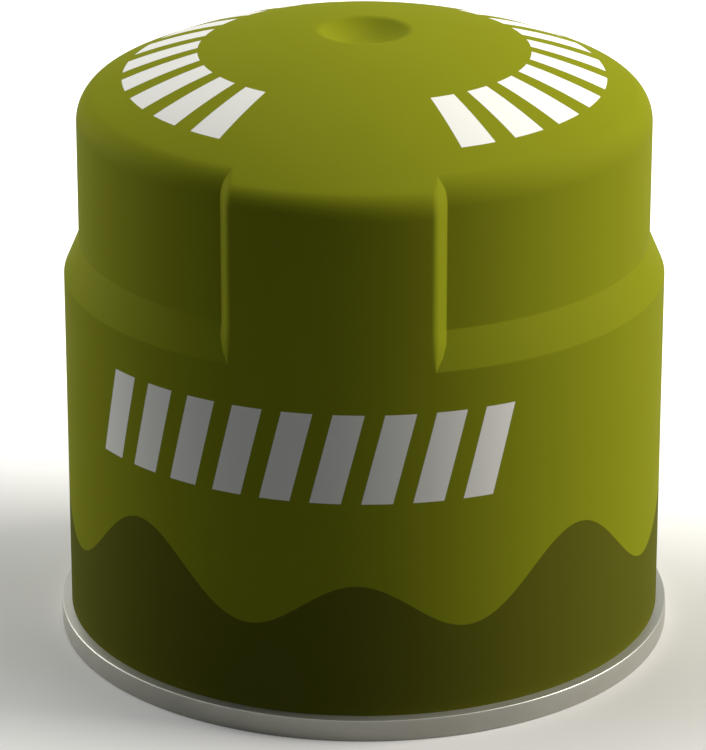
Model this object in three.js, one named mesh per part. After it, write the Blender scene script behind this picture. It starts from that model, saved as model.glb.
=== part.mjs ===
// A pierceable fuel canister: a drawn steel can with a set-in neck, a domed crown with a dimple that a
// stove's spike pierces, one broad panel that stays flush with the body wall up to the crown, and a base
// end joined by a double seam. It is a sealed can, so it is one solid.
// Millimetres, +Z up. The origin is the middle of the ring that the can stands on, and the panel faces -Y.

import * as THREE from 'three';

// Body wall and neck
const bodyDiameter = 87;
const neckInset = 2.25;
const stepBottom = 54.7;
const stepHeight = 5.2;
const stepEdgeRadius = 0.7;

// Crown: part of a large sphere, rounded into the neck and into the panel
const crownApex = 90.65;
const crownRadius = 87.5;
const shoulderRadius = 4.7;

// Panel that keeps the body's radius up to the crown. Its bevelled sides run out in a point at the foot of
// the step, and again on the crown, part of the way from the upper edge to the foot.
const panelFaceWidth = 28.7;
const panelSideWidth = 2;
const panelShoulderRadius = 4;
const panelEdgeSoftness = 0.3;
const panelCrownTipShare = 0.6;

// Dimple in the middle of the crown, with a small flat floor
const dimpleDiameter = 13;
const dimpleDepth = 2;
const dimpleFloorDiameter = 3;
const dimpleLipRadius = 2;

// Double seam at the foot
const seamProud = 1.5;
const seamHeight = 3.2;
const seamThickness = 2.2;
const seamEdgeRadius = 0.45;
const ledgeRise = 0.15;
const ledgeCornerRadius = 0.3;

// Base end, dished up into the can
const chuckWallHeight = 5.2;
const chuckWallDraft = 4;
const baseCornerRadius = 2;
const baseDomeRise = 6.3;

// Fineness of the facets: columns from the panel's middle round to the back, and rows up the profile
const faceColumns = 4;
const edgeColumns = 3;
const sideColumns = 12;
const backColumns = 16;
const filletSteps = 4;
const stepRows = 4;
const crownSteps = 7;
const shoulderSteps = 6;
const baseDomeSteps = 5;
const bowlSteps = 4;

// Share of the panel side's width that its columns keep where the side has run out
const leastSpread = 0.1;

const paint = new THREE.MeshStandardMaterial({ color: 0x8a8f22, roughness: 0.45, metalness: 0.1 });

const bodyRadius = bodyDiameter / 2;
const neckRadius = bodyRadius - neckInset;
const seamRadius = bodyRadius + seamProud;
const point = (r, z) => new THREE.Vector2(r, z);
const { lerp } = THREE.MathUtils;

// Points on an arc from one angle to another, in degrees from the +r axis towards +z, both ends included.
function arc(centre, radius, from, to, steps) {
  const points = [];
  for (let i = 0; i <= steps; i++) {
    const a = THREE.MathUtils.degToRad(from + ((to - from) * i) / steps);
    points.push(point(centre.x + radius * Math.cos(a), centre.y + radius * Math.sin(a)));
  }
  return points;
}

// Angle in degrees of a point as seen from a centre.
function angleAt(centre, p) {
  return THREE.MathUtils.radToDeg(Math.atan2(p.y - centre.y, p.x - centre.x));
}

// The rounding of the corner between two straight lines that meet there. The radius is limited to what
// the shorter line can take, so the arc always ends on both lines.
function roundCorner(before, corner, after, radius, steps = filletSteps) {
  const toBefore = before.clone().sub(corner);
  const toAfter = after.clone().sub(corner);
  const half = toBefore.angleTo(toAfter) / 2;
  const room = 0.9 * Math.min(toBefore.length(), toAfter.length()) * Math.tan(half);
  const r = Math.min(radius, room);
  const setback = r / Math.tan(half);
  const start = corner.clone().addScaledVector(toBefore.normalize(), setback);
  const end = corner.clone().addScaledVector(toAfter.normalize(), setback);
  const bisector = toBefore.add(toAfter).normalize();
  const centre = corner.clone().addScaledVector(bisector, r / Math.sin(half));
  const from = angleAt(centre, start);
  let sweep = angleAt(centre, end) - from;
  if (sweep > 180) sweep -= 360;
  if (sweep < -180) sweep += 360;
  return arc(centre, r, from, from + sweep, steps);
}

// Centre of a circle of the given radius that touches the upright wall from the axis side and lies
// inside the sphere of an end, and the angle at which it touches that sphere.
function shoulderOf(wallRadius, sphereCentre, sphereRadius, radius) {
  const r = wallRadius - radius;
  const centre = point(r, sphereCentre.y + Math.sqrt((sphereRadius - radius) ** 2 - r ** 2));
  const touch = angleAt(sphereCentre, centre);
  return { centre, radius, touch, top: centre.y + radius * Math.sin(THREE.MathUtils.degToRad(touch)) };
}

const crownCentre = point(0, crownApex - crownRadius);
const neckShoulder = shoulderOf(neckRadius, crownCentre, crownRadius, shoulderRadius);
const panelShoulder = shoulderOf(bodyRadius, crownCentre, crownRadius, panelShoulderRadius);

// The step's two corners, and the rounding of each.
const stepFoot = point(bodyRadius, stepBottom);
const stepHead = point(neckRadius, stepBottom + stepHeight);
const ledgeInner = point(bodyRadius, seamHeight + ledgeRise);
const neckTop = point(neckRadius, neckShoulder.centre.y);
const stepFootRounding = roundCorner(ledgeInner, stepFoot, stepHead, stepEdgeRadius);
const stepHeadRounding = roundCorner(stepFoot, stepHead, neckTop, stepEdgeRadius);

// Underside: the dished base end, its corner and the chuck wall down to the seam's inner edge.
function baseProfile() {
  const draft = THREE.MathUtils.degToRad(chuckWallDraft);
  const wallFoot = point(seamRadius - seamThickness, 0);
  const wallHead = point(wallFoot.x - chuckWallHeight * Math.tan(draft), chuckWallHeight);
  const apex = point(0, chuckWallHeight + baseDomeRise);
  const radius = (wallHead.x ** 2 + baseDomeRise ** 2) / (2 * baseDomeRise);
  const domeCentre = point(0, apex.y - radius);
  // The corner's circle touches the leaning chuck wall and lies inside the dome's sphere.
  const along = point(-Math.sin(draft), Math.cos(draft));
  const inward = point(-Math.cos(draft), -Math.sin(draft));
  const offset = wallFoot.clone().addScaledVector(inward, baseCornerRadius).sub(domeCentre);
  const b = offset.dot(along);
  const c = offset.lengthSq() - (radius - baseCornerRadius) ** 2;
  const rise = -b + Math.sqrt(b * b - c);
  const centre = offset.add(domeCentre).addScaledVector(along, rise);
  const touch = angleAt(domeCentre, centre);
  const dome = arc(domeCentre, radius, 90, touch, baseDomeSteps);
  dome[0].x = 0;
  const corner = arc(centre, baseCornerRadius, touch, chuckWallDraft, filletSteps);
  return [...dome, ...corner.slice(1)];
}

// Double seam: inner edge, standing ring, outer face and the ledge that meets the body wall.
function seamProfile(chuckWallEnd) {
  const ringInner = point(seamRadius - seamThickness, 0);
  const ringOuter = point(seamRadius, 0);
  const ledgeOuter = point(seamRadius, seamHeight);
  return [
    ...roundCorner(chuckWallEnd, ringInner, ringOuter, seamEdgeRadius),
    ...roundCorner(ringInner, ringOuter, ledgeOuter, seamEdgeRadius),
    ...roundCorner(ringOuter, ledgeOuter, ledgeInner, seamEdgeRadius),
    ...roundCorner(ledgeOuter, ledgeInner, stepFoot, ledgeCornerRadius, 2),
  ];
}

// Dimple: a bowl let into the crown, its rolled lip, and the flat floor that the spike meets.
function dimpleProfile() {
  const rim = point(dimpleDiameter / 2, crownCentre.y + Math.sqrt(crownRadius ** 2 - (dimpleDiameter / 2) ** 2));
  const bowlRadius = (rim.x ** 2 + dimpleDepth ** 2) / (2 * dimpleDepth);
  const bowlCentre = point(0, rim.y - dimpleDepth + bowlRadius);
  // The lip's circle lies inside the crown's sphere and outside the bowl's.
  const toCrown = crownRadius - dimpleLipRadius;
  const toBowl = bowlRadius + dimpleLipRadius;
  const gap = bowlCentre.y - crownCentre.y;
  const up = (toCrown ** 2 - toBowl ** 2 + gap ** 2) / (2 * gap);
  const lipCentre = point(Math.sqrt(toCrown ** 2 - up ** 2), crownCentre.y + up);
  const crownTouch = angleAt(crownCentre, lipCentre);
  const bowlTouch = angleAt(bowlCentre, lipCentre);
  const floorTouch = -THREE.MathUtils.radToDeg(Math.acos(dimpleFloorDiameter / 2 / bowlRadius));
  const lip = arc(lipCentre, dimpleLipRadius, crownTouch, bowlTouch + 180, filletSteps);
  const bowl = arc(bowlCentre, bowlRadius, bowlTouch, floorTouch, bowlSteps);
  return { crownTouch, points: [...lip, ...bowl.slice(1), point(0, bowl.at(-1).y)] };
}

// Radius of the panel's surface at a height.
function panelRadiusAt(z) {
  const { centre, radius, top } = panelShoulder;
  if (z <= centre.y) return bodyRadius;
  if (z <= top) return centre.x + Math.sqrt(radius ** 2 - (z - centre.y) ** 2);
  return Math.sqrt(crownRadius ** 2 - (z - crownCentre.y) ** 2);
}

// One ring of the can: its place on the meridian, how far the panel stands out there, where between its
// upper edge and its foot the panel's side runs out, and how evenly the ring's columns are spread.
const ring = (p, { stand = 0, tipShare = 0, evenness = 0 } = {}) => ({ p, stand, tipShare, evenness });

// Rings where the panel stands out: the step and the neck up to where its shoulder meets the crown.
function neckRings() {
  const slope = [];
  for (let i = 1; i < stepRows; i++) {
    slope.push(stepFootRounding.at(-1).clone().lerp(stepHeadRounding[0], i / stepRows));
  }
  const { centre, radius, touch } = neckShoulder;
  const shoulder = arc(centre, radius, 0, touch, shoulderSteps);
  const lower = [...stepFootRounding, ...slope, ...stepHeadRounding];
  const stand = (p) => Math.max(panelRadiusAt(p.y) - p.x, 0);
  return [
    ...lower.map((p) => ring(p, { stand: stand(p) })),
    ...shoulder.map((p) => ring(p, { stand: stand(p), tipShare: panelCrownTipShare })),
  ];
}

// Rings of the crown, spread more evenly towards the middle, and of the dimple.
function crownRings() {
  const dimple = dimpleProfile();
  const crown = arc(crownCentre, crownRadius, neckShoulder.touch, dimple.crownTouch, crownSteps);
  const tipShare = panelCrownTipShare;
  return [
    ...crown.slice(1, -1).map((p, i) => ring(p, { tipShare, evenness: (i + 1) / crownSteps })),
    ...dimple.points.map((p) => ring(p, { tipShare, evenness: 1 })),
  ];
}

// All rings of the can, from the middle of the base end out, up and back to the axis.
function canRings() {
  const base = baseProfile();
  return [
    ...base.map((p, i) => ring(p, { evenness: Math.max(1 - i / baseDomeSteps, 0) })),
    ...seamProfile(base.at(-1)).map((p) => ring(p)),
    ...neckRings(),
    ...crownRings(),
  ];
}

// Height of the panel's side over the neck as a share of the panel's: 1 on the panel, 0 at the side's
// foot, where t is 1, and rounded over its upper edge, where t is 0.
function sideHeight(t) {
  const soft = panelEdgeSoftness;
  if (t <= -soft) return 1;
  if (t < soft) return 1 - (t + soft) ** 2 / (4 * soft);
  return Math.max(1 - t, 0);
}

const faceAngle = Math.asin(panelFaceWidth / 2 / bodyRadius);
const sideAngle = panelSideWidth / neckRadius;
const halfColumns = faceColumns + edgeColumns + 1 + sideColumns + backColumns;

// Angle and radius of a ring's columns, from the panel's middle round one side of the can to the back.
function halfRing({ p, stand, tipShare, evenness }) {
  const share = Math.min(stand / neckInset, 1);
  const spread = lerp(leastSpread, 1, share * (1.5 - 0.5 * share));
  const tip = faceAngle + tipShare * sideAngle;
  const edge = lerp(tip, faceAngle, spread);
  const foot = lerp(tip, faceAngle + sideAngle, spread);
  const edgeStart = edge - panelEdgeSoftness * (foot - edge);
  const edgeEnd = edge + panelEdgeSoftness * (foot - edge);
  const quarter = Math.PI / 2;
  const angles = [];
  for (let i = 0; i < faceColumns; i++) angles.push(lerp(0, edgeStart, i / faceColumns));
  for (let i = 0; i <= edgeColumns; i++) angles.push(lerp(edgeStart, edgeEnd, i / edgeColumns));
  for (let i = 0; i < sideColumns; i++) angles.push(lerp(foot, quarter, i / sideColumns));
  for (let i = 0; i <= backColumns; i++) angles.push(lerp(quarter, Math.PI, i / backColumns));
  return angles.map((angle, i) => ({
    angle: lerp(angle, (Math.PI * i) / halfColumns, evenness),
    radius: p.x + stand * sideHeight((angle - edge) / (foot - edge)),
  }));
}

// The can as a turned form whose columns crowd at the panel's sides, with the panel pushed out of it.
function canGeometry() {
  const rings = canRings();
  const segments = 2 * halfColumns;
  const profile = rings.map(({ p }) => p);
  const geometry = new THREE.LatheGeometry(profile, segments).rotateX(Math.PI / 2);
  const position = geometry.attributes.position;
  rings.forEach((item, row) => {
    const half = halfRing(item);
    for (let column = 0; column <= segments; column++) {
      const mirrored = column > halfColumns;
      const { angle, radius } = half[mirrored ? segments - column : column];
      const x = radius * Math.sin(angle) * (mirrored ? -1 : 1);
      position.setXYZ(column * rings.length + row, x, -radius * Math.cos(angle), item.p.y);
    }
  });
  geometry.computeVertexNormals();
  return geometry;
}

const canister = new THREE.Mesh(canGeometry(), paint);
canister.name = 'canister';

const model = new THREE.Group();
model.add(canister);

export default model;
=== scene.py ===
# A pierceable fuel canister on a pale floor: the painted can body with its print, and the bare base end.
# Lengths are written in millimetres, as on the real can, and turned into metres where Blender takes them.
# The can's axis is +Z and the middle of its flush panel faces -Y.

import math

import bpy
import numpy as np
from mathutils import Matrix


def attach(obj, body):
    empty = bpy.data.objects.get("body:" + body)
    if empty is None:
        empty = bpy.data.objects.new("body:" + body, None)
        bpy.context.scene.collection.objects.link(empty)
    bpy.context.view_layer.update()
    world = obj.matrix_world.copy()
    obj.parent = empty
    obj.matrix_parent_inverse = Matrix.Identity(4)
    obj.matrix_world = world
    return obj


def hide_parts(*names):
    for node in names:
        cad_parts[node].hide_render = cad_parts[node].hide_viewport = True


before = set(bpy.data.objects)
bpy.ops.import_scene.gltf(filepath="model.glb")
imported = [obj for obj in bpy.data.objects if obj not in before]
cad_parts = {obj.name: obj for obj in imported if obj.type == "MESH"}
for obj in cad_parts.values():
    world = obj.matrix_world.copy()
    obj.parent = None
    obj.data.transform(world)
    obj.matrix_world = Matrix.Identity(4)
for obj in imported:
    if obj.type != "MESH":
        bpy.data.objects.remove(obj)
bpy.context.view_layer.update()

MM = 0.001

# Sizes of the can, in millimetres
BODY_RADIUS = 43.5
NECK_RADIUS = 41.25
STEP_BOTTOM = 54.7
STEP_HEIGHT = 5.2
STEP_EDGE_RADIUS = 0.7
CROWN_APEX = 90.65
CROWN_RADIUS = 87.5
NECK_SHOULDER_RADIUS = 4.7
PANEL_SHOULDER_RADIUS = 4.0
PANEL_FACE_HALF_WIDTH = 14.35
PANEL_SIDE_WIDTH = 2.0
PANEL_EDGE_SOFTNESS = 0.3
PANEL_CROWN_TIP_SHARE = 0.6
LEAST_SPREAD = 0.02
DIMPLE_RADIUS = 6.5
DIMPLE_DEPTH = 2.0
DIMPLE_LIP_RADIUS = 2.0
DIMPLE_FLOOR_RADIUS = 1.5
SEAM_RADIUS = 45.0
SEAM_HEIGHT = 3.2
SEAM_THICKNESS = 2.2
SEAM_EDGE_RADIUS = 0.45
SEAM_CRISP_RADIUS = 0.18
SEAM_BULGE = 0.1
LEDGE_RISE = 0.15
CHUCK_WALL_HEIGHT = 5.2
CHUCK_WALL_DRAFT = math.radians(4)
BASE_CORNER_RADIUS = 2.0
BASE_DOME_RISE = 6.3
BASE_SHEET = 0.35
BODY_FOOT = 3.2

# Where the body and the base end go in under each other, out of sight, in millimetres
CLOSURE_GAP = 0.1
FOOT_TUCK = 0.3
LEDGE_TUCK = 0.25
SEAM_TUCK = 0.35
SEAM_DROP = 0.2

# Rows and columns of the meshes
WALL_ROWS = 26
WALL_FOOT_GAP = 0.05
STEP_CORNER_STEPS = 6
STEP_ROWS = 40
STEP_GAP = 0.3
NECK_ROWS = 9
SHOULDER_ROWS = 29
CROWN_ROWS = 32
DIMPLE_STEPS = 12
DOME_STEPS = 24
SMALL_CORNER_STEPS = 8
LEDGE_STOPS = (0.1, 0.5, 0.9, 1.0)
PANEL_COLUMNS = 13
PANEL_EDGE_COLUMNS = 11
PANEL_SIDE_STOPS = [0.7, 0.96, 1.0, 1.04, 1.3]
FRONT_COLUMNS = 46
BACK_COLUMNS = 61
BASE_COLUMNS = 360

# The print: rows of plain bars, and a band of rounded hills, in millimetres
BAR_COUNT = 9
BAR_PITCH = 7.2
BAR_WIDTH = 4.4
BAR_EDGE = 0.08
BAR_ROW_EDGE = 0.001
WALL_BARS_START = -35.0
WALL_BARS_LEAN = 0.25
WALL_BARS_BOTTOM = 35.6
WALL_BARS_TOP = 48.8
CROWN_BARS_START = -28.8
CROWN_BARS_INSIDE = 23.8
CROWN_BARS_OUTSIDE = 34.6
CROWN_BARS_PITCH_RADIUS = 29.0
HILL_PAIRS = 4
HILL_TURN = math.radians(50)
HILL_LINE = 21.0
HILL_RISE = 4.5
HILL_UNEVENNESS = 2.3
HILL_EDGE = 0.05

# Surfaces
PAINT_SPECULAR = 0.015
INK_ROUGHER_BY = 0.06
INK_PROUD_BY = 0.6
TINPLATE_METALLIC = 0.7
FLOOR_SPECULAR = 0.1
FLOOR_ROUGHNESS = 0.7

# Camera, as fitted to the photograph
CAMERA_TURN = math.radians(6.4)
CAMERA_PITCH = math.radians(21.666)
CAMERA_DISTANCE = 648.7
CAMERA_ASIDE = -1.624
CAMERA_AIM_HEIGHT = 37.515
CAMERA_LENS = 212.49
CAMERA_SENSOR = 36.0
CAMERA_REACH = 20000.0

# Floor: how it glows in front of the can's axis and behind it, and how it shows in gloss
FLOOR_HALF_WIDTH = 3000.0
BACK_GLOW_FROM = 0
BACK_GLOW_TO = 105
BACK_GLOW = 0.7
FRONT_GLOW_FROM = -15
FRONT_GLOW_TO = -60
FRONT_GLOW = 0.2
FLOOR_IN_MIRROR = 0.55

# Light
LAMP_AIM = (0, 0, 45)
LAMP_DISTANCE = 750
WORLD_FILL = 0.095
WORLD_TINT = (0.87, 1.0, 1.15)
WORLD_IN_MIRROR = 0.35


# The painted body's form

def arc(centre, radius, start, end, steps):
    """Points on an arc in the (r, z) plane, angles in radians from +r towards +z, both ends included."""
    return [
        (centre[0] + radius * math.cos(a), centre[1] + radius * math.sin(a))
        for a in np.linspace(start, end, steps + 1)
    ]


def round_corner(before, corner, after, radius, steps):
    """The rounding of the corner between two straight lines of a profile."""
    corner = np.array(corner, float)
    to_before = np.array(before, float) - corner
    to_after = np.array(after, float) - corner
    to_before /= np.linalg.norm(to_before)
    to_after /= np.linalg.norm(to_after)
    half = math.acos(np.clip(to_before @ to_after, -1, 1)) / 2
    bisector = to_before + to_after
    bisector /= np.linalg.norm(bisector)
    centre = corner + bisector * radius / math.sin(half)
    start = corner + to_before * radius / math.tan(half) - centre
    end = corner + to_after * radius / math.tan(half) - centre
    first = math.atan2(start[1], start[0])
    sweep = math.atan2(end[1], end[0]) - first
    sweep = (sweep + math.pi) % (2 * math.pi) - math.pi
    return arc(centre, radius, first, first + sweep, steps)


class Shoulder:
    """The rounding between an upright wall and the crown's sphere: wall radius as a function of height."""

    def __init__(self, wall_radius, radius):
        self.wall_radius = wall_radius
        self.radius = radius
        self.r = wall_radius - radius
        self.z = CROWN_CENTRE + math.sqrt((CROWN_RADIUS - radius) ** 2 - self.r ** 2)
        self.touch = math.atan2(self.z - CROWN_CENTRE, self.r)
        self.top = CROWN_CENTRE + CROWN_RADIUS * math.sin(self.touch)

    def at(self, z):
        if z <= self.z:
            return self.wall_radius
        if z <= self.top:
            return self.r + math.sqrt(max(0.0, self.radius ** 2 - (z - self.z) ** 2))
        return math.sqrt(max(0.0, CROWN_RADIUS ** 2 - (z - CROWN_CENTRE) ** 2))


CROWN_CENTRE = CROWN_APEX - CROWN_RADIUS
neck_shoulder = Shoulder(NECK_RADIUS, NECK_SHOULDER_RADIUS)
panel_shoulder = Shoulder(BODY_RADIUS, PANEL_SHOULDER_RADIUS)


def step_profile():
    """The two rounded corners of the step, as points (r, z) from the body wall up to the neck."""
    wall = (BODY_RADIUS, BODY_FOOT)
    foot = (BODY_RADIUS, STEP_BOTTOM)
    head = (NECK_RADIUS, STEP_BOTTOM + STEP_HEIGHT)
    neck = (NECK_RADIUS, neck_shoulder.z)
    lower = round_corner(wall, foot, head, STEP_EDGE_RADIUS, STEP_CORNER_STEPS)
    upper = round_corner(foot, head, neck, STEP_EDGE_RADIUS, STEP_CORNER_STEPS)
    return lower + upper


STEP_POINTS = step_profile()
STEP_R = [p[0] for p in STEP_POINTS]
STEP_Z = [p[1] for p in STEP_POINTS]


def neck_radius_at(z):
    if z <= STEP_Z[-1]:
        return float(np.interp(z, STEP_Z, STEP_R))
    return neck_shoulder.at(z)


FACE_ANGLE = math.asin(PANEL_FACE_HALF_WIDTH / BODY_RADIUS)
SIDE_ANGLE = PANEL_SIDE_WIDTH / NECK_RADIUS


def side_height(t):
    """The panel's height across its side, as a share: rounded over at t = 0, and 0 at its foot, t = 1."""
    soft = PANEL_EDGE_SOFTNESS
    if t <= -soft:
        return 1.0
    if t < soft:
        return 1 - (t + soft) ** 2 / (4 * soft)
    return max(1 - t, 0.0)


def half_ring(radius, stand, tip_share, evenness):
    """Angles and radii of a ring's columns from the panel's middle round to the back.

    They crowd at the panel's side, which runs out in a point where the panel stands out no more: at its
    upper edge if tip_share is 0, at its foot if it is 1.
    """
    share = min(stand / (BODY_RADIUS - NECK_RADIUS), 1.0)
    spread = LEAST_SPREAD + (1 - LEAST_SPREAD) * share * (2 - share)
    tip = FACE_ANGLE + tip_share * SIDE_ANGLE
    edge = tip + spread * (FACE_ANGLE - tip)
    side = spread * SIDE_ANGLE
    soft = PANEL_EDGE_SOFTNESS
    stops = list(np.linspace(-soft, soft, PANEL_EDGE_COLUMNS)) + PANEL_SIDE_STOPS
    crowded = [edge + side * t for t in stops]
    angles = list(np.linspace(0, crowded[0], PANEL_COLUMNS)[:-1]) + crowded
    angles += list(np.linspace(crowded[-1], math.pi / 2, FRONT_COLUMNS)[1:])
    angles += list(np.linspace(math.pi / 2, math.pi, BACK_COLUMNS)[1:])
    even = np.linspace(0, math.pi, len(angles))
    return [
        (a + evenness * (b - a), radius + stand * side_height((a - edge) / side))
        for a, b in zip(angles, even)
    ]


def ring(radius, z, stand=0.0, tip_share=0.0, evenness=0.0):
    """The points of one ring of the painted body, once round."""
    half = half_ring(radius, stand, tip_share, evenness)
    turn = half + [(-a, r) for a, r in reversed(half[1:-1])]
    return [(r * math.sin(a), -r * math.cos(a), z) for a, r in turn]


def panel_ring(z):
    """A ring of the wall, the step, the neck or its shoulder, with the panel standing out of it."""
    radius = neck_radius_at(z)
    stand = max(panel_shoulder.at(z) - radius, 0.0)
    tip_share = PANEL_CROWN_TIP_SHARE if z > neck_shoulder.z else 0.0
    return ring(radius, z, stand, tip_share)


def wall_heights():
    """Heights of the rows on the upright part, from the foot to where the neck's shoulder meets the crown."""
    wall_foot = BODY_FOOT + WALL_FOOT_GAP
    wall_top = STEP_Z[0] - STEP_GAP
    rows = [BODY_FOOT] + list(np.linspace(wall_foot, wall_top, WALL_ROWS)) + [STEP_Z[0]]
    along_step = np.linspace(0, len(STEP_Z) - 1, STEP_ROWS)
    rows += list(np.interp(along_step, range(len(STEP_Z)), STEP_Z))[1:]
    rows += list(np.linspace(STEP_Z[-1] + STEP_GAP, panel_shoulder.z, NECK_ROWS))
    shoulder_angles = np.linspace(0, neck_shoulder.touch, SHOULDER_ROWS)
    low = panel_shoulder.z
    rise = neck_shoulder.top - low
    rows += list(low + rise * np.sin(shoulder_angles) / math.sin(neck_shoulder.touch))[1:]
    return rows


def crown_profile():
    """Points (r, z) from the crown's edge over the dimple's lip to the dimple's floor."""
    rim_z = CROWN_CENTRE + math.sqrt(CROWN_RADIUS ** 2 - DIMPLE_RADIUS ** 2)
    bowl_radius = (DIMPLE_RADIUS ** 2 + DIMPLE_DEPTH ** 2) / (2 * DIMPLE_DEPTH)
    bowl_z = rim_z - DIMPLE_DEPTH + bowl_radius
    to_crown = CROWN_RADIUS - DIMPLE_LIP_RADIUS
    to_bowl = bowl_radius + DIMPLE_LIP_RADIUS
    gap = bowl_z - CROWN_CENTRE
    up = (to_crown ** 2 - to_bowl ** 2 + gap ** 2) / (2 * gap)
    lip = (math.sqrt(to_crown ** 2 - up ** 2), CROWN_CENTRE + up)
    crown_touch = math.atan2(lip[1] - CROWN_CENTRE, lip[0])
    bowl_touch = math.atan2(lip[1] - bowl_z, lip[0])
    floor_touch = -math.acos(DIMPLE_FLOOR_RADIUS / bowl_radius)
    points = arc((0, CROWN_CENTRE), CROWN_RADIUS, neck_shoulder.touch, crown_touch, CROWN_ROWS)
    points += arc(lip, DIMPLE_LIP_RADIUS, crown_touch, bowl_touch + math.pi, DIMPLE_STEPS)[1:]
    points += arc((0, bowl_z), bowl_radius, bowl_touch, floor_touch, DIMPLE_STEPS)[1:]
    return points[1:]


# The base end's form

def underside_profile(lift):
    """Points (r, z) of the dished base end from its middle to the top of the chuck wall, raised by lift."""
    wall_foot = (SEAM_RADIUS - SEAM_THICKNESS, 0.0)
    head_r = wall_foot[0] - CHUCK_WALL_HEIGHT * math.tan(CHUCK_WALL_DRAFT)
    apex = CHUCK_WALL_HEIGHT + BASE_DOME_RISE
    radius = (head_r ** 2 + BASE_DOME_RISE ** 2) / (2 * BASE_DOME_RISE)
    dome = np.array((0.0, apex - radius))
    along = np.array((-math.sin(CHUCK_WALL_DRAFT), math.cos(CHUCK_WALL_DRAFT)))
    inward = np.array((-math.cos(CHUCK_WALL_DRAFT), -math.sin(CHUCK_WALL_DRAFT)))
    offset = np.array(wall_foot) + inward * BASE_CORNER_RADIUS - dome
    b = offset @ along
    c = offset @ offset - (radius - BASE_CORNER_RADIUS) ** 2
    centre = offset + dome + along * (-b + math.sqrt(b * b - c))
    touch = math.atan2(centre[1] - dome[1], centre[0])
    points = arc(dome, radius + lift, math.pi / 2, touch, DOME_STEPS)
    points += arc(centre, BASE_CORNER_RADIUS + lift, touch, CHUCK_WALL_DRAFT, SMALL_CORNER_STEPS)[1:]
    points[0] = (0.0, points[0][1])
    return points


def seam_profile(chuck_wall_end):
    """Points (r, z) of the double seam: inner edge, standing ring, outer face, and ledge up to the wall."""
    inner = (SEAM_RADIUS - SEAM_THICKNESS, 0.0)
    outer = (SEAM_RADIUS - SEAM_BULGE, 0.0)
    ledge_outer = (SEAM_RADIUS - SEAM_BULGE, SEAM_HEIGHT)
    ledge_inner = (BODY_RADIUS - LEDGE_TUCK, SEAM_HEIGHT + LEDGE_RISE)
    points = round_corner(chuck_wall_end, inner, outer, SEAM_EDGE_RADIUS, SMALL_CORNER_STEPS)
    points += round_corner(inner, outer, ledge_outer, SEAM_CRISP_RADIUS, SMALL_CORNER_STEPS)
    points.append((SEAM_RADIUS, SEAM_HEIGHT / 2))
    points += round_corner(outer, ledge_outer, ledge_inner, SEAM_CRISP_RADIUS, SMALL_CORNER_STEPS)
    first = np.array(points[-1])
    points += [tuple(first + (np.array(ledge_inner) - first) * share) for share in LEDGE_STOPS]
    return points


def plain_ring(radius, z, count):
    angles = [2 * math.pi * i / count for i in range(count)]
    return [(radius * math.sin(a), -radius * math.cos(a), z) for a in angles]


# The meshes

def mesh_from_rings(name, rings, bottom_z, top_z):
    """A closed mesh from rings of equal count, from below upwards, that ends in points on the axis."""
    count = len(rings[0])
    vertices = [(0.0, 0.0, bottom_z)]
    for points in rings:
        vertices += points
    top = len(vertices)
    vertices.append((0.0, 0.0, top_z))
    faces = []
    for i in range(count):
        j = (i + 1) % count
        faces.append((0, 1 + j, 1 + i))
    for row in range(len(rings) - 1):
        low = 1 + row * count
        high = low + count
        for i in range(count):
            j = (i + 1) % count
            faces.append((low + i, low + j, high + j, high + i))
    last = 1 + (len(rings) - 1) * count
    for i in range(count):
        j = (i + 1) % count
        faces.append((last + i, last + j, top))
    mesh = bpy.data.meshes.new(name)
    mesh.from_pydata([(x * MM, y * MM, z * MM) for x, y, z in vertices], [], faces)
    mesh.polygons.foreach_set("use_smooth", [True] * len(mesh.polygons))
    mesh.update()
    piece = bpy.data.objects.new(name, mesh)
    bpy.context.scene.collection.objects.link(piece)
    return piece


def make_can_body():
    """The drawn body: hidden closure over the base end, wall with its panel, crown and dimple."""
    closure = underside_profile(BASE_SHEET + CLOSURE_GAP)
    rings = [ring(r, z, evenness=1.0) for r, z in closure[1:]]
    rings.append(ring(BODY_RADIUS - FOOT_TUCK, BODY_FOOT))
    rings += [panel_ring(z) for z in wall_heights()]
    crown = crown_profile()
    for i, (r, z) in enumerate(crown):
        evenness = min((i + 1) / CROWN_ROWS, 1.0)
        rings.append(ring(r, z, tip_share=PANEL_CROWN_TIP_SHARE, evenness=evenness))
    return mesh_from_rings("can_body", rings, closure[0][1], crown[-1][1])


def make_base_end():
    """The bare base end: dished disc of sheet, chuck wall and double seam."""
    under = underside_profile(0.0)
    over = underside_profile(BASE_SHEET)
    outline = under[1:] + seam_profile(under[-1])
    outline.append((BODY_RADIUS - SEAM_TUCK, BODY_FOOT - SEAM_DROP))
    outline += list(reversed(over))[:-1]
    rings = [plain_ring(r, z, BASE_COLUMNS) for r, z in outline]
    return mesh_from_rings("base_end", rings, under[0][1], over[0][1])


# The materials

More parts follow.
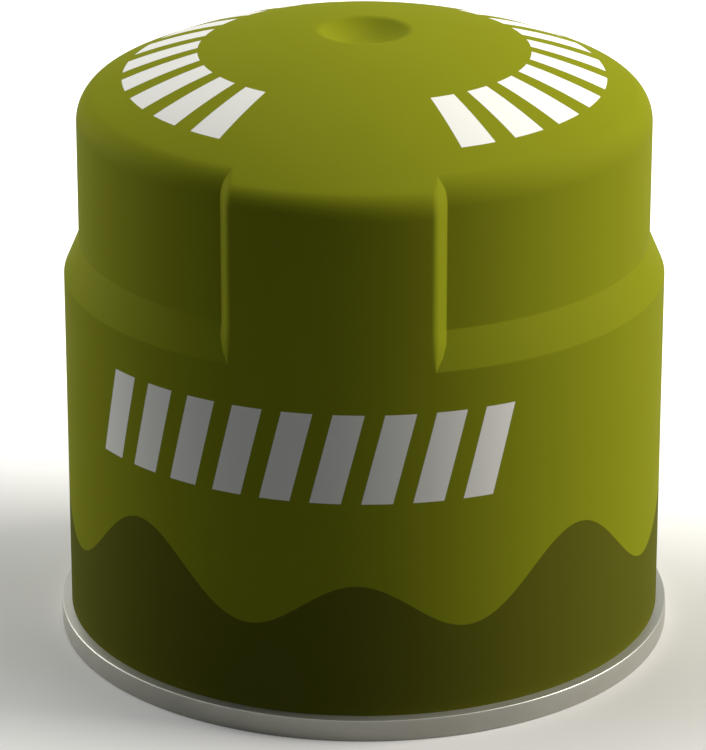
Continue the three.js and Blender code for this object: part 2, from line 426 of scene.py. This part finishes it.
class Nodes:
    """Short calls for building one node tree, of a material or of the world."""

    def __init__(self, owner):
        owner.use_nodes = True
        self.tree = owner.node_tree
        self.shader = self.tree.nodes.get("Principled BSDF")

    def add(self, kind, **settings):
        node = self.tree.nodes.new(kind)
        for key, value in settings.items():
            setattr(node, key, value)
        return node

    def feed(self, socket, value):
        if isinstance(value, bpy.types.NodeSocket):
            self.tree.links.new(value, socket)
        else:
            socket.default_value = value

    def math(self, operation, a, b=0.0, c=0.0):
        node = self.add("ShaderNodeMath", operation=operation)
        self.feed(node.inputs[0], a)
        self.feed(node.inputs[1], b)
        self.feed(node.inputs[2], c)
        return node.outputs[0]

    def ramp(self, value, low, high):
        """0 below low, 1 above high, smooth between."""
        node = self.add("ShaderNodeMapRange", interpolation_type="SMOOTHSTEP")
        self.feed(node.inputs["Value"], value)
        self.feed(node.inputs["From Min"], low)
        self.feed(node.inputs["From Max"], high)
        return node.outputs["Result"]

    def scale(self, value, low, high):
        """From low to high as value goes from 0 to 1."""
        node = self.add("ShaderNodeMapRange")
        self.feed(node.inputs["Value"], value)
        self.feed(node.inputs["To Min"], low)
        self.feed(node.inputs["To Max"], high)
        return node.outputs["Result"]

    def within(self, value, middle, half_width, soft):
        """1 where value is within half_width of middle, with an edge as wide as soft."""
        away = self.math("ABSOLUTE", self.math("SUBTRACT", value, middle))
        inside = self.math("SUBTRACT", half_width, away)
        return self.ramp(inside, -soft / 2, soft / 2)

    def mix(self, factor, a, b):
        node = self.add("ShaderNodeMix", data_type="RGBA")
        self.feed(node.inputs[0], factor)
        self.feed(node.inputs[6], a)
        self.feed(node.inputs[7], b)
        return node.outputs[2]

    def noise(self, vector, scale, detail, roughness=0.5):
        node = self.add("ShaderNodeTexNoise")
        self.feed(node.inputs["Vector"], vector)
        node.inputs["Scale"].default_value = scale
        node.inputs["Detail"].default_value = detail
        node.inputs["Roughness"].default_value = roughness
        return node.outputs["Fac"]

    def combine(self, x, y, z):
        node = self.add("ShaderNodeCombineXYZ")
        self.feed(node.inputs[0], x)
        self.feed(node.inputs[1], y)
        self.feed(node.inputs[2], z)
        return node.outputs[0]

    def bump(self, height, depth, strength):
        """Relief on the surface, with its depth in millimetres."""
        node = self.add("ShaderNodeBump")
        node.inputs["Strength"].default_value = strength
        node.inputs["Distance"].default_value = depth * MM
        self.feed(node.inputs["Height"], height)
        self.feed(self.shader.inputs["Normal"], node.outputs["Normal"])

    def can_place(self):
        """A point's place, angle from the panel's middle, height and distance from the axis."""
        position = self.add("ShaderNodeTexCoord").outputs["Object"]
        split = self.add("ShaderNodeSeparateXYZ")
        self.feed(split.inputs[0], position)
        x = self.math("MULTIPLY", split.outputs[0], 1 / MM)
        y = self.math("MULTIPLY", split.outputs[1], 1 / MM)
        z = self.math("MULTIPLY", split.outputs[2], 1 / MM)
        angle = self.math("ARCTAN2", x, self.math("MULTIPLY", y, -1.0))
        squares = self.math("ADD", self.math("MULTIPLY", x, x), self.math("MULTIPLY", y, y))
        radius = self.math("SQRT", squares)
        return self.combine(x, y, z), angle, z, radius


def colour(red, green, blue):
    """A colour given as it looks on a screen, 0 to 255, in the linear values that a shader takes."""
    def linear(v):
        v /= 255
        return v / 12.92 if v <= 0.04045 else ((v + 0.055) / 1.055) ** 2.4
    return (linear(red), linear(green), linear(blue), 1.0)


OLIVE_DEEP = colour(132, 136, 23)
OLIVE_PALE = colour(140, 144, 28)
HILL_GREEN = colour(93, 94, 24)
PRINT_WHITE = colour(249, 246, 238)
TINPLATE_DULL = colour(190, 188, 176)
TINPLATE_CLEAN = colour(208, 206, 196)
FLOOR_COLOUR = colour(223, 220, 215)
FLOOR_BOUNCE = colour(130, 130, 128)
PLAIN_WHITE = (1, 1, 1, 1)


def bars(nodes, along, across, first, lean, low, high):
    """A row of bars, the first with its middle at first along the row, each from low to high across it."""
    middle = (low + high) / 2
    lean_by = nodes.math("MULTIPLY", nodes.math("SUBTRACT", across, middle), lean)
    shifted = nodes.math("SUBTRACT", nodes.math("SUBTRACT", along, first - BAR_PITCH / 2), lean_by)
    place = nodes.math("DIVIDE", shifted, BAR_PITCH)
    in_row = nodes.within(place, BAR_COUNT / 2, BAR_COUNT / 2, BAR_ROW_EDGE)
    in_pitch = nodes.math("MULTIPLY", nodes.math("FRACT", place), BAR_PITCH)
    in_bar = nodes.within(in_pitch, BAR_PITCH / 2, BAR_WIDTH / 2, BAR_EDGE)
    in_height = nodes.within(across, middle, (high - low) / 2, BAR_EDGE)
    return nodes.math("MULTIPLY", nodes.math("MULTIPLY", in_row, in_bar), in_height)


def white_print(nodes, angle, z, radius):
    """1 on the white bars: a leaning row on the wall, and a row on each side of the crown."""
    wall_length = nodes.math("MULTIPLY", angle, BODY_RADIUS)
    wall_bars = bars(
        nodes, wall_length, z, WALL_BARS_START, WALL_BARS_LEAN, low=WALL_BARS_BOTTOM, high=WALL_BARS_TOP
    )
    folded = nodes.math("SUBTRACT", math.pi / 2, nodes.math("ABSOLUTE", angle))
    crown_length = nodes.math("MULTIPLY", folded, CROWN_BARS_PITCH_RADIUS)
    crown_bars = bars(
        nodes, crown_length, radius, CROWN_BARS_START, 0.0, low=CROWN_BARS_INSIDE, high=CROWN_BARS_OUTSIDE
    )
    on_crown = nodes.math("GREATER_THAN", z, neck_shoulder.top)
    return nodes.math("ADD", wall_bars, nodes.math("MULTIPLY", crown_bars, on_crown))


def hill_band(nodes, angle, z):
    """1 below a line of rounded hills, tall and low by turns, round the foot of the wall."""
    pairs = nodes.math("MULTIPLY", nodes.math("SUBTRACT", angle, HILL_TURN), HILL_PAIRS)
    each = nodes.math("MULTIPLY", nodes.math("COSINE", nodes.math("MULTIPLY", pairs, 2.0)), HILL_RISE)
    tall = nodes.math("MULTIPLY", nodes.math("COSINE", pairs), HILL_UNEVENNESS)
    line = nodes.math("ADD", nodes.math("ADD", each, tall), HILL_LINE)
    return nodes.ramp(nodes.math("SUBTRACT", line, z), -HILL_EDGE, HILL_EDGE)


def painted_body_material():
    """Olive enamel with hardly any gloss, uneven like orange peel, and its print."""
    material = bpy.data.materials.new("painted_body")
    nodes = Nodes(material)
    place, angle, z, radius = nodes.can_place()
    white = white_print(nodes, angle, z, radius)
    tone = nodes.noise(place, scale=0.035, detail=3.0)
    paint = nodes.mix(tone, OLIVE_DEEP, OLIVE_PALE)
    printed = nodes.mix(hill_band(nodes, angle, z), paint, HILL_GREEN)
    printed = nodes.mix(white, printed, PRINT_WHITE)
    nodes.feed(nodes.shader.inputs["Base Color"], printed)
    nodes.shader.inputs["Specular IOR Level"].default_value = PAINT_SPECULAR
    smear = nodes.noise(place, scale=0.12, detail=4.0, roughness=0.6)
    rough = nodes.scale(smear, low=0.6, high=0.7)
    rough = nodes.math("ADD", rough, nodes.math("MULTIPLY", white, INK_ROUGHER_BY))
    nodes.feed(nodes.shader.inputs["Roughness"], rough)
    peel = nodes.noise(place, scale=1.3, detail=2.0, roughness=0.45)
    ink = nodes.math("MULTIPLY", white, INK_PROUD_BY)
    nodes.bump(nodes.math("ADD", peel, ink), depth=0.02, strength=0.35)
    return material


def bare_tinplate_material():
    """Bare tinplate with stains, and with fine scratches that run round the can."""
    material = bpy.data.materials.new("bare_tinplate")
    nodes = Nodes(material)
    place, angle, z, radius = nodes.can_place()
    round_the_can = nodes.combine(
        nodes.math("MULTIPLY", nodes.math("SINE", angle), 1.5),
        nodes.math("MULTIPLY", nodes.math("COSINE", angle), 1.5),
        nodes.math("ADD", nodes.math("MULTIPLY", z, 9.0), nodes.math("MULTIPLY", radius, 7.0)),
    )
    scratches = nodes.noise(round_the_can, scale=1.6, detail=3.0, roughness=0.6)
    stains = nodes.noise(place, scale=0.18, detail=4.0, roughness=0.6)
    base = nodes.mix(stains, TINPLATE_DULL, TINPLATE_CLEAN)
    nodes.feed(nodes.shader.inputs["Base Color"], base)
    nodes.shader.inputs["Metallic"].default_value = TINPLATE_METALLIC
    nodes.feed(nodes.shader.inputs["Roughness"], nodes.scale(scratches, low=0.3, high=0.46))
    nodes.bump(scratches, depth=0.01, strength=0.2)
    return material


def dress(piece, material):
    piece.data.materials.append(material)
    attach(piece, "root")
    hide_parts("canister")


dress(make_can_body(), painted_body_material())
dress(make_base_end(), bare_tinplate_material())


# Floor, light and camera

def make_floor():
    """A pale floor that grows white towards the back, glows paler in front with painted light, and gives the
    can little light.
    """
    half = FLOOR_HALF_WIDTH * MM
    corners = [(-half, -half, 0), (half, -half, 0), (half, half, 0), (-half, half, 0)]
    mesh = bpy.data.meshes.new("floor")
    mesh.from_pydata(corners, [], [(0, 1, 2, 3)])
    floor = bpy.data.objects.new("floor", mesh)
    bpy.context.scene.collection.objects.link(floor)
    material = bpy.data.materials.new("floor")
    mesh.materials.append(material)
    nodes = Nodes(material)
    split = nodes.add("ShaderNodeSeparateXYZ")
    nodes.feed(split.inputs[0], nodes.add("ShaderNodeTexCoord").outputs["Object"])
    depth = nodes.math("MULTIPLY", split.outputs[1], 1 / MM)
    behind = nodes.math("MULTIPLY", nodes.ramp(depth, BACK_GLOW_FROM, BACK_GLOW_TO), BACK_GLOW)
    # Painted light: the floor glows paler in front of the can, seen by the camera only.
    before = nodes.math("MULTIPLY", nodes.ramp(depth, FRONT_GLOW_FROM, FRONT_GLOW_TO), FRONT_GLOW)
    path = nodes.add("ShaderNodeLightPath")
    in_mirror = nodes.math("MULTIPLY", path.outputs["Is Glossy Ray"], FLOOR_IN_MIRROR)
    is_seen = nodes.math("MAXIMUM", path.outputs["Is Camera Ray"], in_mirror)
    nodes.feed(nodes.shader.inputs["Base Color"], nodes.mix(is_seen, FLOOR_BOUNCE, FLOOR_COLOUR))
    nodes.feed(nodes.shader.inputs["Emission Color"], PLAIN_WHITE)
    shown = nodes.math("MAXIMUM", path.outputs["Is Camera Ray"], path.outputs["Is Glossy Ray"])
    behind = nodes.math("MULTIPLY", behind, shown)
    before = nodes.math("MULTIPLY", before, path.outputs["Is Camera Ray"])
    nodes.feed(nodes.shader.inputs["Emission Strength"], nodes.math("ADD", behind, before))
    nodes.shader.inputs["Specular IOR Level"].default_value = FLOOR_SPECULAR
    nodes.shader.inputs["Roughness"].default_value = FLOOR_ROUGHNESS


def soft_lamp(name, azimuth, elevation, size, power, tint):
    """A square lamp turned towards the can. Its azimuth is counted from the panel's middle, in degrees."""
    lamp = bpy.data.lights.new(name, "AREA")
    lamp.size = size * MM
    lamp.energy = power
    lamp.color = tint
    turn = math.radians(azimuth)
    rise = math.radians(elevation)
    holder = bpy.data.objects.new(name, lamp)
    bpy.context.scene.collection.objects.link(holder)
    reach = LAMP_DISTANCE * math.cos(rise)
    place = (reach * math.sin(turn), -reach * math.cos(turn), LAMP_DISTANCE * math.sin(rise))
    holder.location = [(a + b) * MM for a, b in zip(LAMP_AIM, place)]
    holder.rotation_euler = (math.pi / 2 - rise, 0, turn)


def make_world():
    """Dim even light on the can, plain white to the camera, and a pale room in what gleams."""
    world = bpy.data.worlds.new("studio")
    bpy.context.scene.world = world
    nodes = Nodes(world)
    fill = nodes.tree.nodes["Background"]
    fill.inputs["Color"].default_value = (*WORLD_TINT, 1)
    fill.inputs["Strength"].default_value = WORLD_FILL
    white = nodes.add("ShaderNodeBackground")
    white.inputs["Color"].default_value = PLAIN_WHITE
    path = nodes.add("ShaderNodeLightPath")
    mirrored = nodes.math("MAXIMUM", path.outputs["Is Glossy Ray"], path.outputs["Is Transmission Ray"])
    shown = nodes.math("MULTIPLY_ADD", mirrored, WORLD_IN_MIRROR, path.outputs["Is Camera Ray"])
    mix = nodes.add("ShaderNodeMixShader")
    nodes.feed(mix.inputs[0], shown)
    nodes.feed(mix.inputs[1], fill.outputs[0])
    nodes.feed(mix.inputs[2], white.outputs[0])
    nodes.feed(nodes.tree.nodes["World Output"].inputs["Surface"], mix.outputs[0])


def make_camera():
    """The camera at the photograph's viewing angle, turned so that the can's panel faces left of front."""
    data = bpy.data.cameras.new("camera")
    data.lens = CAMERA_LENS
    data.sensor_width = CAMERA_SENSOR
    data.clip_end = CAMERA_REACH * MM
    camera = bpy.data.objects.new("camera", data)
    bpy.context.scene.collection.objects.link(camera)
    back = -CAMERA_DISTANCE * math.cos(CAMERA_PITCH)
    up = CAMERA_AIM_HEIGHT + CAMERA_DISTANCE * math.sin(CAMERA_PITCH)
    x = CAMERA_ASIDE * math.cos(CAMERA_TURN) - back * math.sin(CAMERA_TURN)
    y = CAMERA_ASIDE * math.sin(CAMERA_TURN) + back * math.cos(CAMERA_TURN)
    camera.location = (x * MM, y * MM, up * MM)
    camera.rotation_euler = (math.pi / 2 - CAMERA_PITCH, 0, CAMERA_TURN)
    bpy.context.scene.camera = camera


make_floor()
make_world()
make_camera()
soft_lamp("key", azimuth=99, elevation=30, size=450, power=6.7, tint=(1.0, 0.975, 0.93))
soft_lamp("left", azimuth=-112, elevation=7, size=400, power=2.9, tint=(0.98, 1.0, 0.98))
soft_lamp("back", azimuth=-150, elevation=60, size=600, power=3.0, tint=(0.98, 1.0, 0.98))
bpy.context.scene.view_settings.view_transform = "Standard"
